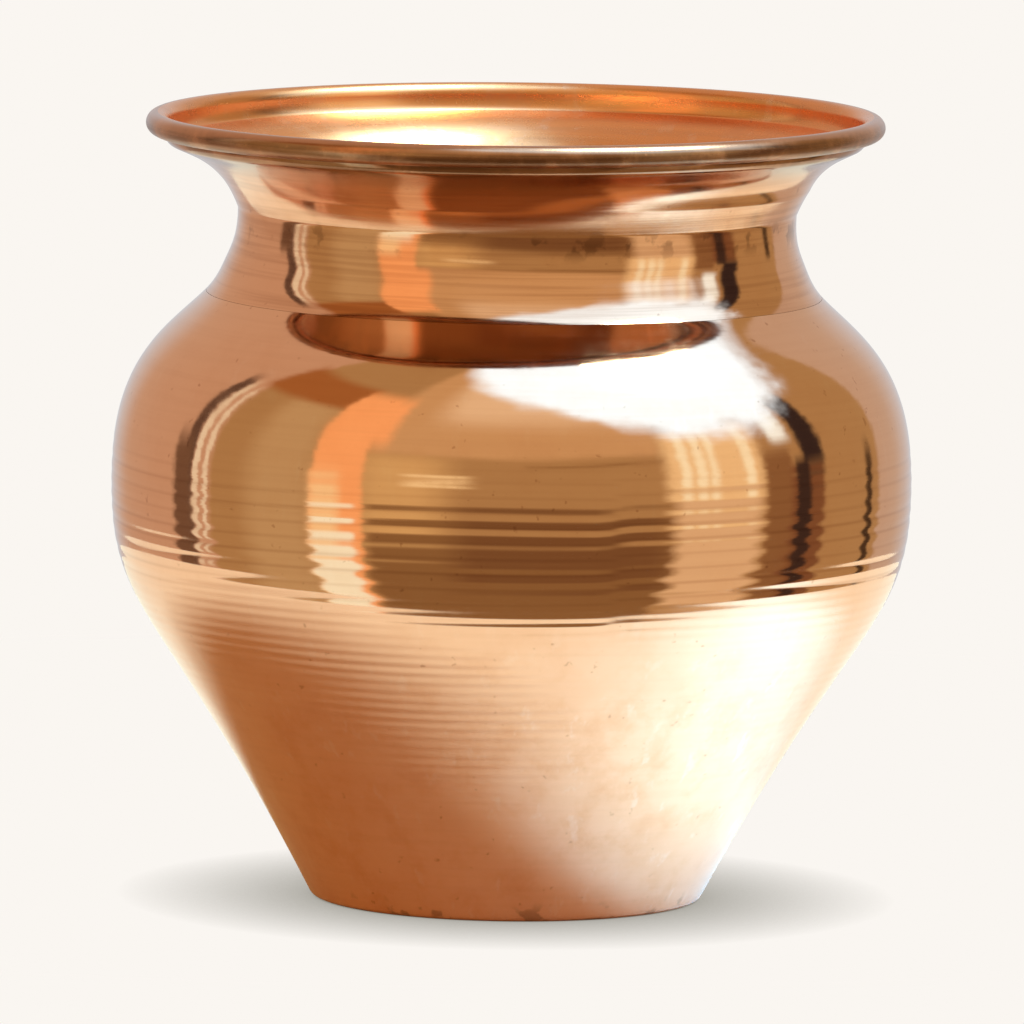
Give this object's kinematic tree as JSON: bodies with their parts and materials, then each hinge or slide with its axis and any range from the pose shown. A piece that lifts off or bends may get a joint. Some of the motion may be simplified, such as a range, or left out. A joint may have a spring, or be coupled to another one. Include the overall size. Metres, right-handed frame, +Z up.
{
  "type": "copper lota",
  "caption": "Round-bellied water pot of copper sheet with a flat base, a narrow neck and a flared mouth with a rolled rim, for carrying, pouring and keeping water.",
  "frame": {"origin": "on the axis, at the height of the ring the pot stands on", "axes": "+Z up along the pot's axis, out of the mouth; the pot is the same all round, so +X and +Y are any two directions across it"},
  "size_m": [0.102, 0.102, 0.1004],
  "materials": {
    "copper_sheet": "spun copper, mirror-polished above the belly and satin below it",
    "copper_wire": "plain drawn copper",
    "brazing_alloy": "as flowed"
  },
  "bodies": {
    "root": {"base_bowl": "copper_sheet", "shoulder_shell": "copper_sheet", "neck_mouth": "copper_sheet", "rim_wire": "copper_wire", "belly_braze": "brazing_alloy", "neck_braze": "brazing_alloy"}
  },
  "joints": []
}
